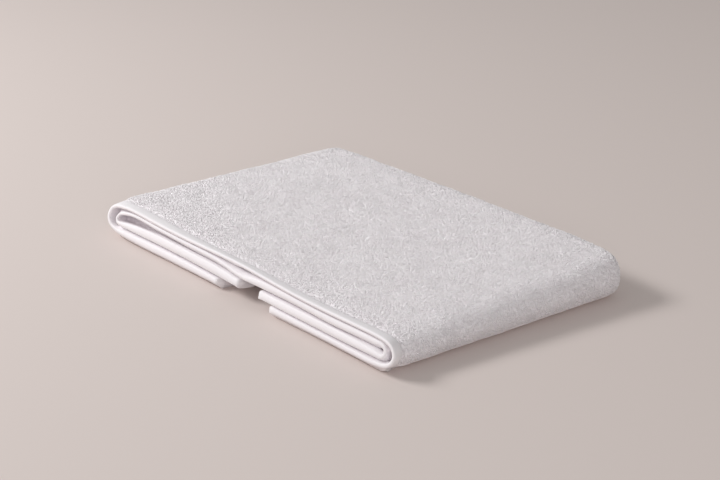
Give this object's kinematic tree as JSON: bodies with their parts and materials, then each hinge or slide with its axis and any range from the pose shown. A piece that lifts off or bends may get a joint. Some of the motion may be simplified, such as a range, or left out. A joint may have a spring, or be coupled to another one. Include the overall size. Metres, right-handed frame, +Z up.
{
  "type": "folded guest towel",
  "caption": "White terry guest towel, halved lengthwise with both ends turned under, lying flat on a surface.",
  "frame": {"origin": "on the table under the middle of the folded towel, the centre of the bounding box's underside", "axes": "+X along the towel's length, +Y towards the long crease, +Z up"},
  "size_m": [0.3198, 0.2054, 0.0291],
  "materials": {
    "cotton_terry": "white looped cotton pile with plain woven hems"
  },
  "bodies": {
    "root": {"towel": "cotton_terry"}
  },
  "joints": []
}
